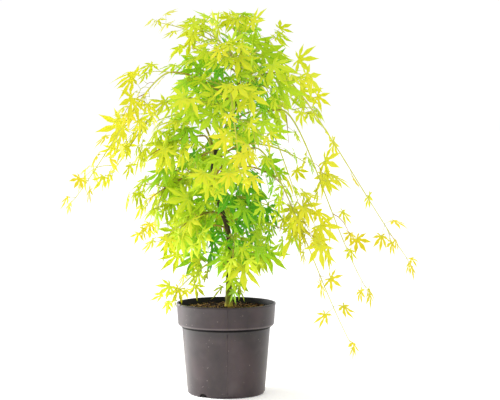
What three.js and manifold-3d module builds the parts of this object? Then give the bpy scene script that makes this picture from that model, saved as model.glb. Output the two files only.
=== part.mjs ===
// A young weeping maple in a plastic nursery pot. Millimetres, +Z up, origin at the centre of the pot's underside.
// Bearings are in degrees round the pot: 0 is +X, 90 is +Y (the back), 180 is -X and 270 is -Y (the front).

import * as THREE from "three";
import { mergeVertices } from "three/addons/utils/BufferGeometryUtils.js";
import Module from "manifold-3d";

const wasm = await Module();
wasm.setup();

// Driving dimensions

const CLEARANCE = 0.3;
const TOLERANCE = 0.05;
const FINEST = 0.002;

const POT = {
  height: 174,
  rimRadius: 95,
  bandFootRadius: 92,
  bandHeight: 43,
  stepHeight: 4.5,
  shoulderRadius: 84.3,
  footRadius: 74.5,
  footRound: 5,
  wall: 1.9,
  floor: 3,
  lipHeight: 3,
  lipWidth: 1.6,
  sides: 32,
};

const DRAIN = { count: 3, bearing: 235, width: 15, height: 5, depth: 14 };

const MIX = { level: 163, mound: 2.5, padRadius: 16, edgeGap: 0.35 };

const TRUNK = {
  foot: MIX.level + MIX.mound + CLEARANCE,
  top: 664,
  footRadius: 6.4,
  topRadius: 1.9,
  flare: 1.7,
  flareHeight: 8,
  footX: 5,
  lean: 27,
  bow: -38,
  bowFrom: 280,
  bowTo: 580,
  sway: 8,
  sides: 8,
  steps: 16,
};

const BOUGH = { footRadius: 2.6, tipRadius: 1.8, sides: 5, steps: 3, crook: 0.5 };

const STEM = { footRadius: 2.1, tipRadius: 1.5, sides: 3, stepLength: 38, hang: -0.3 };

const TWIG = { length: 62, radius: 1.35, tipRadius: 1.3, nodes: [0.55, 0.96] };

const LEAF = {
  shrink: 0.25,
  petiole: 0.55,
  petioleRadius: 0.5,
  thickness: 1.6,
  bend: 0.4,
  droop: 0.16,
  notch: 0.47,
  lobes: [
    { angle: -86, length: 0.68 },
    { angle: -42, length: 0.92 },
    { angle: 0, length: 1 },
    { angle: 42, length: 0.92 },
    { angle: 86, length: 0.68 },
  ],
  youngLobes: [
    { angle: -46, length: 0.8 },
    { angle: 0, length: 1 },
    { angle: 46, length: 0.8 },
  ],
};

// How foliage grows: how far apart and how large its leaves are, the share of nodes that carry a twig, the share
// of leaves left out, and what each leaf keeps clear of.
const GROWTH = {
  seed: 7,
  gap: 29,
  reach: 55,
  share: 0.34,
  thin: 0.06,
  first: 14,
  stagger: 3.2,
  tries: 12,
  apart: 4,
  margin: 2.5,
  limbMargin: 5,
  potMargin: 3,
};

// The close head of the tree winds down the trunk in a spiral of masses, each turned a golden angle from the last.
// from is where one leaves the trunk, and tip is how far out and how high it reaches. Those below the top tiers
// grow from a bough that ends at arch. Each of these is given at some shares of the way down the spiral.
const HEAD = {
  tiers: ["top", "crown", "upper", "high", "middle", "low"],
  perTier: 5,
  count: 27,
  turn: 137.508,
  first: 84,
  boughs: [0.38, 0.74],
  at: [0, 0.25, 0.5, 0.75, 1],
  from: [640, 560, 464, 372, 286],
  archOut: [0, 40, 48, 44, 0],
  archRise: [0, 46, 44, 38, 0],
  tipOut: [62, 146, 160, 144, 100],
  tipRise: [72, 46, 12, -8, -26],
};

const SIDES = ["right", "back_right", "back", "back_left", "left", "front_left", "front", "front_right"];

// Long whips and small tufts that stand out of the head. hang is positive where the end swings outwards.
const LONE = [
  { name: "tuft_leader", from: TRUNK.top, bearing: 300, tip: [30, 708] },
  { name: "tuft_top_left", from: 633, bearing: 184, tip: [126, 706] },
  { name: "whip_right_outer", from: 575, bearing: 350, arch: [96, 612], tip: [345, 264], hang: 0 },
  { name: "whip_right_middle", from: 466, bearing: 4, arch: [104, 542], tip: [268, 202], hang: 0.15 },
  { name: "whip_right_inner", from: 400, bearing: 330, arch: [64, 470], tip: [262, 120], hang: 0.05 },
  { name: "whip_left", from: 549, bearing: 203, arch: [110, 612], tip: [300, 378], hang: 0, gap: 48, thin: 0.1 },
  { name: "drape_left", from: 527, bearing: 176, arch: [88, 566], tip: [220, 420], hang: -0.2, gap: 30 },
  { name: "drape_front", from: 534, bearing: 278, arch: [66, 592], tip: [196, 430], hang: -0.2, gap: 32 },
  { name: "whip_back_left", from: 457, bearing: 130, arch: [96, 530], tip: [256, 300], hang: 0 },
  { name: "whip_back_right", from: 501, bearing: 50, arch: [94, 540], tip: [262, 290], hang: 0 },
  { name: "tuft_rim_left", from: 250, bearing: 204, tip: [112, 192] },
  { name: "tuft_foot", from: 226, bearing: 285, tip: [40, 214] },
];

const WHIP = { gap: 66, reach: 44, share: 0.12, thin: 0.25 };
const TUFT = { gap: 22, reach: 44, share: 0, thin: 0 };

// Colours that the sub-parts take

const COLOURS = {
  pot: { color: 0x564f50, roughness: 0.6 },
  mix: { color: 0x3a2a1e, roughness: 1 },
  bark: { color: 0x6e6a35, roughness: 0.8 },
  lime: { color: 0xb9d32b, roughness: 0.6 },
};

const material = (slot) => new THREE.MeshStandardMaterial({ ...COLOURS[slot], metalness: 0 });

const part = new THREE.Group();

function addMesh(name, geometry, slot) {
  const mesh = new THREE.Mesh(geometry, material(slot));
  mesh.name = name;
  part.add(mesh);
}

// Small vector helpers

const UP = new THREE.Vector3(0, 0, 1);

function onBearing(degrees, out, height) {
  const angle = THREE.MathUtils.degToRad(degrees);
  return new THREE.Vector3(out * Math.cos(angle), out * Math.sin(angle), height);
}

// The sum of vectors times their weights, given in pairs.
function blend(...pairs) {
  const sum = new THREE.Vector3();
  for (const [vector, weight] of pairs) sum.addScaledVector(vector, weight);
  return sum;
}

// Numbers between 0 and 1 that are the same each time the tree is grown.
function seeded(seed) {
  let state = seed >>> 0;
  return () => {
    state = (Math.imul(state, 1664525) + 1013904223) >>> 0;
    return state / 4294967296;
  };
}

// Solids made from closed meshes

// The geometry with its corners and faces alone.
function bareGeometry(geometry) {
  const bare = new THREE.BufferGeometry();
  bare.setAttribute("position", geometry.getAttribute("position"));
  bare.setIndex(geometry.getIndex());
  return bare;
}

function solidOf(geometry) {
  const merged = mergeVertices(bareGeometry(geometry), 1e-4);
  const vertProperties = merged.getAttribute("position").array;
  const triVerts = new Uint32Array(merged.getIndex().array);
  return new wasm.Manifold(new wasm.Mesh({ numProp: 3, vertProperties, triVerts }));
}

function geometryOf(solid) {
  const { numProp, vertProperties, triVerts } = solid.getMesh();
  const count = vertProperties.length / numProp;
  const positions = new Float32Array(count * 3);
  for (let i = 0; i < count; i++) {
    positions.set(vertProperties.subarray(i * numProp, i * numProp + 3), i * 3);
  }
  const geometry = new THREE.BufferGeometry();
  geometry.setAttribute("position", new THREE.BufferAttribute(positions, 3));
  geometry.setIndex(new THREE.BufferAttribute(triVerts, 1));
  geometry.computeVertexNormals();
  return geometry;
}

const largest = (solid) => solid.decompose().sort((a, b) => b.volume() - a.volume())[0];

// A round tapering limb: a cylinder bent along a curve, with its radius given at each share of the way.
function limb(curve, radiusAt, sides, steps) {
  const geometry = new THREE.CylinderGeometry(1, 1, 1, sides, steps);
  const { normals, binormals } = curve.computeFrenetFrames(steps, false);
  const position = geometry.getAttribute("position");
  for (let i = 0; i < position.count; i++) {
    const share = position.getY(i) + 0.5;
    const ring = Math.round(share * steps);
    const radius = radiusAt(share);
    const moved = curve
      .getPointAt(share)
      .addScaledVector(normals[ring], radius * position.getX(i))
      .addScaledVector(binormals[ring], -radius * position.getZ(i));
    position.setXYZ(i, moved.x, moved.y, moved.z);
  }
  return geometry;
}

const taper = (foot, tip) => (share) => THREE.MathUtils.lerp(foot, tip, share);

// Pot: a turned shell with a deep band round its top and drain notches round its foot

function potOutline() {
  const { height, rimRadius, bandFootRadius, bandHeight, stepHeight, shoulderRadius, footRadius } = POT;
  const { footRound, wall, floor, lipHeight, lipWidth } = POT;
  const bandFoot = height - bandHeight;
  const shoulder = bandFoot - stepHeight;
  const outline = new THREE.Shape();
  outline.moveTo(0, 0);
  outline.lineTo(footRadius - footRound, 0);
  outline.quadraticCurveTo(footRadius, 0, footRadius + 0.3, footRound);
  outline.lineTo(shoulderRadius, shoulder);
  outline.lineTo(bandFootRadius, bandFoot);
  outline.lineTo(rimRadius, height - lipHeight);
  outline.lineTo(rimRadius - 0.4, height);
  outline.lineTo(rimRadius - lipWidth - wall, height);
  outline.lineTo(bandFootRadius - wall, bandFoot + 1);
  outline.lineTo(shoulderRadius - wall, shoulder + 1);
  outline.lineTo(footRadius - wall, floor);
  outline.lineTo(0, floor);
  return outline;
}

function turned(outline, divisions) {
  const points = outline.getPoints(divisions);
  return new THREE.LatheGeometry(points, POT.sides).rotateX(Math.PI / 2);
}

function drainNotches() {
  const notches = [];
  for (let i = 0; i < DRAIN.count; i++) {
    const { width, height, depth } = DRAIN;
    const notch = new THREE.CylinderGeometry(width / 2, width / 2, depth, 8, 1);
    notch.scale(1, 1, (2 * height) / width);
    notch.translate(0, POT.footRadius, 0);
    notch.rotateZ(THREE.MathUtils.degToRad(DRAIN.bearing - 90 + (360 * i) / DRAIN.count));
    notches.push(solidOf(notch));
  }
  return wasm.Manifold.union(notches);
}

function pot() {
  return largest(solidOf(turned(potOutline(), 3)).subtract(drainNotches()));
}

// Potting mix: fills the pot to just under its rim, with a low flat-topped mound under the trunk

function mixOutline() {
  const { bandHeight, bandFootRadius, height, stepHeight, shoulderRadius, footRadius } = POT;
  const { wall, floor, rimRadius, lipWidth } = POT;
  const { level, mound, padRadius, edgeGap } = MIX;
  const bandFoot = height - bandHeight + 1;
  const shoulder = height - bandHeight - stepHeight + 1;
  const inside = wall + edgeGap;
  const levelShare = (level - bandFoot) / (height - bandFoot);
  const levelRadius = THREE.MathUtils.lerp(bandFootRadius, rimRadius - lipWidth, levelShare) - inside;
  const outline = new THREE.Shape();
  outline.moveTo(0, floor + edgeGap);
  outline.lineTo(footRadius - inside, floor + edgeGap);
  outline.lineTo(shoulderRadius - inside, shoulder + edgeGap);
  outline.lineTo(bandFootRadius - inside, bandFoot + edgeGap);
  outline.lineTo(levelRadius, level - 1);
  outline.lineTo(padRadius, level + mound);
  outline.lineTo(0, level + mound);
  return outline;
}

// Trunk: bows to one side and leans a little, with a root flare at its flat foot

class TrunkLine extends THREE.Curve {
  getPoint(share) {
    const z = THREE.MathUtils.lerp(TRUNK.foot, TRUNK.top, share);
    return trunkAt(z);
  }
}

function trunkAt(z) {
  const { foot, top, footX, lean, bow, bowFrom, bowTo, sway } = TRUNK;
  const share = (z - foot) / (top - foot);
  const bowShare = THREE.MathUtils.clamp((z - bowFrom) / (bowTo - bowFrom), 0, 1);
  const x = footX + lean * share ** 2 + bow * Math.sin(Math.PI * bowShare) ** 2;
  const y = sway * Math.sin(2 * Math.PI * share) * share;
  return new THREE.Vector3(x, y, z);
}

function trunkRadius(z) {
  const { foot, top, footRadius, topRadius, flare, flareHeight } = TRUNK;
  const share = (z - foot) / (top - foot);
  return THREE.MathUtils.lerp(footRadius, topRadius, share) + flare * Math.exp((foot - z) / flareHeight);
}

function trunkSolid(extra) {
  const line = new TrunkLine();
  const radiusAt = (share) => trunkRadius(line.getPointAt(share).z) + extra;
  const geometry = limb(line, radiusAt, TRUNK.sides, TRUNK.steps);
  const position = geometry.getAttribute("position");
  for (let i = 0; i < position.count; i++) {
    if (position.getZ(i) < TRUNK.foot + 2) position.setZ(i, TRUNK.foot);
  }
  return solidOf(geometry);
}

// Boughs and stems: where each one runs

// The value at a share of the way, between evenly or unevenly spaced marks.
function between(marks, values, share) {
  const i = Math.max(1, marks.findIndex((mark) => mark >= share));
  return THREE.MathUtils.mapLinear(share, marks[i - 1], marks[i], values[i - 1], values[i]);
}

function headCascades() {
  const { tiers, perTier, count, turn, first, boughs, at } = HEAD;
  return Array.from({ length: count }, (_, i) => {
    const share = i / (count - 1);
    const value = (key) => between(at, HEAD[key], share);
    const bearing = (first + turn * i) % 360;
    const side = SIDES[Math.round(bearing / 45) % SIDES.length];
    const name = `${tiers[Math.floor(i / perTier)]}_${side}`;
    const from = value("from");
    const arch = share > boughs[0] && share < boughs[1] ? [value("archOut"), from + value("archRise")] : null;
    return { name, from, bearing, arch, tip: [value("tipOut"), from + value("tipRise")] };
  });
}

function layOut(cascade, index) {
  const { from, bearing, arch, tip, hang = STEM.hang } = cascade;
  const root = trunkAt(from);
  const end = onBearing(bearing, tip[0], tip[1]);
  let foot = root;
  let heading = blend([onBearing(bearing, 1, 0), 1], [UP, tip[1] > from ? 1.1 : 0.6]).normalize();
  let bough = null;
  if (from === TRUNK.top) {
    heading = UP;
    foot = blend([root, 1], [UP, CLEARANCE]);
  }
  if (arch) {
    const archEnd = onBearing(bearing, arch[0], arch[1]);
    const crook = blend([root, 1 - BOUGH.crook], [archEnd, BOUGH.crook]).setZ(arch[1]);
    bough = new THREE.QuadraticBezierCurve3(root, crook, archEnd);
    heading = blend([archEnd, 1], [crook, -1]).normalize();
    foot = blend([archEnd, 1], [heading, CLEARANCE]);
  }
  const span = end.distanceTo(foot);
  const chord = blend([end, 1], [foot, -1]).normalize();
  const arrival = blend([chord, 1], [UP, hang]).normalize();
  const leave = blend([foot, 1], [heading, Math.min(span * 0.35, 42)]);
  const arrive = blend([end, 1], [arrival, -span * 0.35]);
  const stem = new THREE.CubicBezierCurve3(foot, leave, arrive, end);
  const steps = Math.max(3, Math.round(stem.getLength() / STEM.stepLength));
  return { ...cascade, index, bough, stem, steps, trace: stem.getSpacedPoints(steps) };
}

function withHabit(cascade) {
  const habit = cascade.name.startsWith("whip") ? WHIP : cascade.name.startsWith("tuft") ? TUFT : {};
  return { ...GROWTH, ...habit, ...cascade };
}

const cascades = [...headCascades(), ...LONE].map(withHabit).map(layOut);

// Distances

const limited = (value) => Math.min(1, Math.max(0, value));

function pointToTrace(p, trace) {
  let nearest = Infinity;
  for (let i = 1; i < trace.length; i++) {
    const [a, b] = [trace[i - 1], trace[i]];
    const [ux, uy, uz] = [b.x - a.x, b.y - a.y, b.z - a.z];
    const [wx, wy, wz] = [p.x - a.x, p.y - a.y, p.z - a.z];
    const t = limited((ux * wx + uy * wy + uz * wz) / (ux * ux + uy * uy + uz * uz));
    nearest = Math.min(nearest, Math.hypot(wx - t * ux, wy - t * uy, wz - t * uz));
  }
  return nearest;
}

// The distance between two segments, each given as its two ends.
function segmentDistance([a, b], [c, d]) {
  const u = blend([b, 1], [a, -1]);
  const v = blend([d, 1], [c, -1]);
  const w = blend([a, 1], [c, -1]);
  const [uu, uv, vv, uw, vw] = [u.dot(u), u.dot(v), v.dot(v), u.dot(w), v.dot(w)];
  const across = uu * vv - uv * uv;
  let s = across > 1e-6 ? limited((uv * vw - vv * uw) / across) : 0;
  const t = limited((uv * s + vw) / vv);
  s = limited((uv * t - uw) / uu);
  return w.addScaledVector(u, s).addScaledVector(v, -t).length();
}

const segmentsOf = (points) => points.slice(1).map((point, i) => [points[i], point]);

// What foliage keeps clear of: the trunk and the boughs, as short segments with a radius

const limbSegments = segmentsOf(new TrunkLine().getPoints(30)).map((bone) => ({ bone, radius: trunkRadius(bone[0].z) }));
for (const { bough } of cascades) {
  if (bough) limbSegments.push(...segmentsOf(bough.getPoints(4)).map((bone) => ({ bone, radius: BOUGH.footRadius })));
}

const clearOfLimbs = (bone, margin) =>
  limbSegments.every((part) => segmentDistance(bone, part.bone) > part.radius + margin);

function clearOfPot(point) {
  const out = Math.hypot(point.x, point.y);
  const outside = out > POT.rimRadius + GROWTH.potMargin;
  const above = point.z > POT.height + GROWTH.potMargin;
  const overMix = point.z > MIX.level + MIX.mound + GROWTH.potMargin && out < POT.shoulderRadius;
  return outside || above || overMix;
}

// A cascade's own space is all that lies nearer to its stem than to any other.
function inOwnSpace(point, own) {
  const room = pointToTrace(point, own.trace) + GROWTH.margin;
  return cascades.every((other) => other === own || pointToTrace(point, other.trace) > room);
}

// Leaves

// The way out of the tree at a point: sideways low down and upwards near the top.
function outward(point) {
  return new THREE.Vector3(point.x, point.y, 0.5 * (point.z - 430)).normalize();
}

function jitter(random, amount) {
  return new THREE.Vector3(random() - 0.5, random() - 0.5, random() - 0.5).multiplyScalar(2 * amount);
}

// A leaf that leaves the stem at root towards side: its stalk, then a blade that hangs and faces outwards.
function aimLeaf(root, side, along, reach, lobes, random) {
  const away = outward(root);
  const stalk = blend([side, 0.9], [along, 0.4], [away, 0.3], [jitter(random, 0.45), 1]).normalize();
  const joint = blend([root, 1], [stalk, reach * LEAF.petiole]);
  const midrib = blend([stalk, 0.5], [UP, -0.62], [away, 0.25], [jitter(random, 0.35), 1]).normalize();
  midrib.addScaledVector(stalk, Math.max(0, LEAF.bend - midrib.dot(stalk))).normalize();
  const face = blend([away, 1], [UP, 0.4], [jitter(random, 0.75), 1]);
  face.addScaledVector(midrib, -face.dot(midrib)).normalize();
  const across = new THREE.Vector3().crossVectors(midrib, face);
  const leaf = { root, joint, stalk, midrib, face, across, reach, lobes };
  leaf.tips = lobes.map((lobe) => onBlade(leaf, lobe.angle, lobe.length));
  leaf.hub = blend([joint, 1], [midrib, reach * 0.15]);
  leaf.bones = leaf.tips.map((tip) => [leaf.hub, tip]);
  leaf.bones.push([blend([root, 0.6], [joint, 0.4]), joint]);
  return leaf;
}

// A point on the blade, at an angle from the midrib and a share of the leaf's reach.
function onBlade(leaf, degrees, share) {
  const angle = THREE.MathUtils.degToRad(degrees);
  const out = leaf.reach * share;
  const sink = -leaf.reach * LEAF.droop * share * share;
  return blend(
    [leaf.joint, 1],
    [leaf.midrib, out * Math.cos(angle)],
    [leaf.across, out * Math.sin(angle)],
    [leaf.face, sink],
  );
}

const bonesApart = (bones, others) =>
  bones.every((bone) => others.every((other) => segmentDistance(bone, other) > GROWTH.apart));

function leafFits(leaf, own, grown) {
  const middles = leaf.lobes.map((lobe) => onBlade(leaf, lobe.angle, 0.5 * lobe.length));
  const points = [leaf.joint, ...leaf.tips, ...middles];
  return (
    points.every(clearOfPot) &&
    points.every((point) => inOwnSpace(point, own)) &&
    bonesApart(leaf.bones, grown) &&
    leaf.bones.every((bone) => clearOfLimbs(bone, GROWTH.limbMargin))
  );
}

// Growth: a stem with leaves in pairs, each pair turned from the last, and side twigs that carry their own pairs

function grow(own) {
  const random = seeded(GROWTH.seed + 1009 * own.index);
  const { gap, reach: fullReach, share: twigShare, thin, trace } = own;
  const leaves = [];
  const twigs = [];
  const grown = segmentsOf(trace);
  const length = own.stem.getLength();

  const addLeaf = (root, side, along, reach, lobes) => {
    for (let i = 0; i < GROWTH.tries; i++) {
      const size = reach * (0.95 + 0.15 * random()) * (1 - 0.03 * i);
      const leaf = aimLeaf(root, side, along, size, lobes, random);
      if (!leafFits(leaf, own, grown)) continue;
      leaves.push(leaf);
      grown.push(...leaf.bones);
      return;
    }
  };

  const addPair = (root, across, over, along, turn, reach, lobes) => {
    for (const way of [1, -1]) {
      const side = blend([across, way * Math.cos(turn)], [over, way * Math.sin(turn)]);
      const staggered = blend([root, 1], [along, way * GROWTH.stagger * -0.5]);
      if (random() > thin) addLeaf(staggered, side, along, reach, lobes);
    }
  };

  const addTwig = (root, side, along, reach) => {
    const long = TWIG.length * (0.75 + 0.5 * random());
    const heading = blend([side, 0.8], [along, 0.5], [outward(root), 0.3]).normalize();
    const middle = blend([root, 1], [heading, long * 0.5]);
    const end = blend([middle, 1], [heading, long * 0.35], [UP, -long * 0.3]);
    const bones = [[blend([root, 0.6], [middle, 0.4]), middle], [middle, end]];
    const fits =
      [middle, end].every((point) => clearOfPot(point) && inOwnSpace(point, own)) &&
      bonesApart(bones, grown) &&
      bones.every((bone) => clearOfLimbs(bone, 2));
    if (!fits) return;
    twigs.push([root, middle, end]);
    grown.push(...bones);
    for (const share of TWIG.nodes) {
      const { point, along: onward } = alongTrace([root, middle, end], long * 0.95 * share);
      const { across, over } = frameAt(point, onward);
      addPair(point, across, over, onward, 0.5 * random(), reach * 0.95, LEAF.lobes);
    }
  };

  const nodes = [];
  for (let at = GROWTH.first; at < length - 10; at += gap * (0.85 + 0.3 * random())) nodes.push(at);
  const places = nodes.map((at, i) => {
    const { point, along } = alongTrace(trace, at);
    const turn = (i % 2) * 0.5 * Math.PI + 0.7 * (random() - 0.5);
    const reach = fullReach * (1 - LEAF.shrink * (at / length) ** 1.5);
    return { point, along, turn, reach, ...frameAt(point, along) };
  });
  for (const { point, along, across, over, turn, reach } of places) {
    const way = random() < 0.5 ? -1 : 1;
    const side = blend([across, way * Math.sin(turn)], [over, way * Math.cos(turn)]);
    if (random() < twigShare) addTwig(point, side, along, reach);
  }
  for (const { point, along, across, over, turn, reach } of places) {
    addPair(point, across, over, along, turn, reach, LEAF.lobes);
  }
  const { point, along } = alongTrace(trace, length - 3);
  const { across, over } = frameAt(point, along);
  const young = fullReach * (1 - LEAF.shrink);
  addPair(point, across, over, along, 0, young, LEAF.youngLobes);
  addLeaf(point, along, along, young, LEAF.youngLobes);
  return { leaves, twigs };
}

// The two directions across a stem, the second on its upper and outer side.
function frameAt(point, along) {
  const across = new THREE.Vector3().crossVectors(along, blend([outward(point), 0.6], [UP, 1])).normalize();
  return { across, over: new THREE.Vector3().crossVectors(across, along) };
}

// The point a distance along a line of short segments, and the way the line runs there.
function alongTrace(trace, distance) {
  let left = distance;
  for (let i = 1; i < trace.length; i++) {
    const step = blend([trace[i], 1], [trace[i - 1], -1]);
    const long = step.length();
    if (left <= long || i === trace.length - 1) {
      return { point: blend([trace[i - 1], 1], [step, left / long]), along: step.normalize() };
    }
    left -= long;
  }
}

// Foliage solids

// One leaf: a thin star-shaped blade, thickest near its hub, on a three-sided stalk whose ridge runs into the
// blade's upper face.
function leafGeometry(leaf, radius) {
  const { across, face, midrib, joint, root, reach, lobes } = leaf;
  const outline = [];
  lobes.forEach((lobe, i) => {
    outline.push(leaf.tips[i]);
    const next = lobes[i + 1];
    if (next) outline.push(onBlade(leaf, (lobe.angle + next.angle) / 2, LEAF.notch));
  });
  const right = blend([joint, 1], [across, radius], [face, -radius * 0.4]);
  const left = blend([joint, 1], [across, -radius], [face, -radius * 0.4]);
  const over = blend([joint, 1], [face, LEAF.thickness]);
  const under = blend([joint, 1], [midrib, reach * 0.14], [face, -LEAF.thickness / 2]);
  const toFoot = blend([root, 1], [joint, -1]);
  const ridgeFoot = blend([joint, 1], [face, radius], [toFoot, 1]);
  const points = [...outline, right, left, over, under];
  points.push(blend([right, 1], [toFoot, 1]), blend([left, 1], [toFoot, 1]), ridgeFoot);
  const first = outline.length;
  const [R, L, T, B, r, l, u] = [0, 1, 2, 3, 4, 5, 6].map((k) => first + k);
  const rim = [L, ...outline.keys(), R];
  const index = [];
  for (let i = 1; i < rim.length; i++) {
    index.push(T, rim[i], rim[i - 1], B, rim[i - 1], rim[i]);
  }
  index.push(B, R, L, R, l, L, R, r, l, T, r, R, T, u, r, T, L, l, T, l, u, r, u, l);
  const geometry = new THREE.BufferGeometry().setFromPoints(points);
  geometry.setIndex(index);
  return geometry;
}

// Stalks are thickened a little at a time until the fused mass closes cleanly.
function foliage(own, trunkGrown) {
  const growth = grow(own);
  let solid;
  for (let thicker = 1; thicker < 1.3; thicker += 0.03) {
    solid = fuse(own, growth, thicker, trunkGrown);
    if (closesWhenMerged(solid)) return solid;
  }
  return solid;
}

function fuse(own, { leaves, twigs }, thicker, trunkGrown) {
  const pieces = [solidOf(limb(own.stem, taper(STEM.footRadius, STEM.tipRadius), STEM.sides, own.steps))];
  for (const twig of twigs) pieces.push(solidOf(bentTwig(twig)));
  for (const leaf of leaves) pieces.push(solidOf(leafGeometry(leaf, LEAF.petioleRadius * thicker)));
  const fused = wasm.Manifold.union(pieces).simplify(TOLERANCE);
  return largest(own.bough ? fused : fused.subtract(trunkGrown));
}

// True where every edge still joins just two faces once corners that all but touch are merged.
function closesWhenMerged(solid) {
  const merged = mergeVertices(bareGeometry(geometryOf(solid)), FINEST);
  const index = merged.getIndex().array;
  const faces = new Map();
  for (let i = 0; i < index.length; i++) {
    const next = i % 3 === 2 ? i - 2 : i + 1;
    const edge = [index[i], index[next]].sort((a, b) => a - b);
    faces.set(edge.join(), (faces.get(edge.join()) ?? 0) + 1);
    if (edge[0] === edge[1]) return false;
  }
  return [...faces.values()].every((count) => count === 2);
}

// A twig of two straight lengths.
function bentTwig([root, middle, end]) {
  const geometry = new THREE.CylinderGeometry(1, 1, 1, STEM.sides, 2);
  const { across, over } = frameAt(middle, blend([end, 1], [root, -1]).normalize());
  const spine = [root, middle, end];
  const position = geometry.getAttribute("position");
  for (let i = 0; i < position.count; i++) {
    const ring = Math.round((position.getY(i) + 0.5) * 2);
    const radius = THREE.MathUtils.lerp(TWIG.radius, TWIG.tipRadius, ring / 2);
    const moved = blend(
      [spine[ring], 1],
      [across, radius * position.getX(i)],
      [over, radius * position.getZ(i)],
    );
    position.setXYZ(i, moved.x, moved.y, moved.z);
  }
  return geometry;
}

// The whole plant in its pot

addMesh("pot", geometryOf(pot()), "pot");
addMesh("potting_mix", geometryOf(solidOf(turned(mixOutline(), 1))), "mix");
addMesh("trunk", geometryOf(trunkSolid(0)), "bark");

const trunkGrown = trunkSolid(CLEARANCE / Math.cos(Math.PI / TRUNK.sides));
for (const cascade of cascades) {
  if (cascade.bough) {
    const radiusAt = taper(BOUGH.footRadius, BOUGH.tipRadius);
    const bough = solidOf(limb(cascade.bough, radiusAt, BOUGH.sides, BOUGH.steps));
    addMesh(`bough_${cascade.name}`, geometryOf(largest(bough.subtract(trunkGrown))), "bark");
  }
  addMesh(`foliage_${cascade.name}`, geometryOf(foliage(cascade, trunkGrown)), "lime");
}

export default part;
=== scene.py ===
"""A young weeping maple in a plastic nursery pot, dressed over its packed frame.

Lengths are millimetres until a mesh is made, and the frame's own units, metres, after that.
Bearings are in degrees round the pot: 0 is +X, 90 is +Y (the back), 180 is -X and 270 is -Y (the front).
"""

import math
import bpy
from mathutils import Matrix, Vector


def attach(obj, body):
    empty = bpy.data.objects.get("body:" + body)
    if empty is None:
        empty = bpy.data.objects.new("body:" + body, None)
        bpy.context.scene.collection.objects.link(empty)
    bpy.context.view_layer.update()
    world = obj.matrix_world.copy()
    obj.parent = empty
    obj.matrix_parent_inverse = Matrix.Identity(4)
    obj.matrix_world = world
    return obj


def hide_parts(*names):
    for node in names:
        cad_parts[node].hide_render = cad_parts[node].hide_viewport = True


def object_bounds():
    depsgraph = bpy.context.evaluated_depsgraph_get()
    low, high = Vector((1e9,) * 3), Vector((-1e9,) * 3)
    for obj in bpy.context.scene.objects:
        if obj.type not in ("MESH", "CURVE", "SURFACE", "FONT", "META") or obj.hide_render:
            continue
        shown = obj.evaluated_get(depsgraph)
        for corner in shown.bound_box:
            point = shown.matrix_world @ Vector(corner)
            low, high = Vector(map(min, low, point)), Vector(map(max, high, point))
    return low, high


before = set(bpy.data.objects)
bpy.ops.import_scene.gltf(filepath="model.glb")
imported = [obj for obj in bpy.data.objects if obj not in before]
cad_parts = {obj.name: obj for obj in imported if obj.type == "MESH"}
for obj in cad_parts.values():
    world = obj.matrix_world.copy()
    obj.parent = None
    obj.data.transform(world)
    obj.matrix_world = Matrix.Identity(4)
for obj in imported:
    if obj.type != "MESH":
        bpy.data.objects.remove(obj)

from types import SimpleNamespace as Sizes

import bpy
import numpy as np
from mathutils import Vector

cad_box = [list(corner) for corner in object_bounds()]

METRE = 0.001
TURN = 2 * math.pi
UP = np.array([0.0, 0.0, 1.0])
# What the trunk keeps from the mix, and a stem from the limb that it grows on.
GAP = 0.3

# Driving dimensions

POT = Sizes(
    height=174, rim_radius=95, foot_radius=74.5, foot_round=5, wall=1.9, floor=3, sides=144,
    band_height=43, band_foot_radius=92, step_height=4.5, shoulder_radius=84.3,
    lip_height=3, lip_width=1.6, edge_round=0.8, sharp_from=32,
)
POT.band_foot = POT.height - POT.band_height
POT.shoulder = POT.band_foot - POT.step_height
# The curl under the band and the roll of the lip, as steps out and up from the band's foot and from the lip.
POT.curl = ((-4.6, -1.2), (-2.2, 0.2), (-0.6, 1.9), (0.1, 4.4))
POT.roll = ((-0.5, -1.2), (-0.1, -0.6), (0, 0.4))
DRAIN = Sizes(count=3, bearing=235, width=19, height=8, depth=18)
SEAM = Sizes(bearing=272.5, radius=0.7, sunk=0.35, rings=12)
MIX = Sizes(level=163, radius=90.7, edge_gap=0.35, roughness=1.3, rings=46, sides=120, damp_depth=12)
MOUND = Sizes(height=2.5, radius=60, flat_radius=16)
CRUMBS = Sizes(seed=5, dark=1500, brown=420, smallest=1.4, largest=4.6, out=88, clear=11)
FIBRES = Sizes(count=300, lengths=(4, 15), radii=(0.35, 0.5, 0.45, 0.2), out=89)
# Three fibres that stand out of the mix, each on its bearing, at its distance and with its own turn.
STANDING = Sizes(places=((262, 70, 2.0), (312, 66, 0.9), (246, 34, 1.4)), pitch=0.75, length=13)

TRUNK = Sizes(
    foot=MIX.level + MOUND.height + GAP, top=664, foot_radius=6.4, top_radius=1.9, flare=1.7, flare_height=8,
    foot_x=5, lean=27, bow=-38, bow_from=280, bow_to=580, sway=8,
)
BOUGH = Sizes(foot_radius=2.6, crook=0.5)
STEM = Sizes(
    foot_radius=1.9, tip_radius=0.75, thins_by=50, step_length=38, rises=(0.6, 1.1), bend=0.35, most_bend=42,
    ring=6, swell=0.25, sides=7, lime=0.6,
)
TWIG = Sizes(
    length=62, radius=1.0, fine_radius=0.6, tip_radius=0.5, nodes=(0.55, 0.96), end=0.95, sink=0.3,
    limb_margin=2, lead=40,
)
# Two short bare twigs low on the trunk, each with its height there, its end and its radius.
BARE_TWIGS = ((262, (34, -8, 300), 1.1), (238, (-18, -6, 254), 0.8))
BARK = Sizes(
    ring=2.5, relief=0.07, slim=0.86, node_gap=34, swell=0.10, trunk_sides=28, bough_sides=14,
    trunk_seed=11, bough_seed=20, band_blur=0.035,
)

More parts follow.
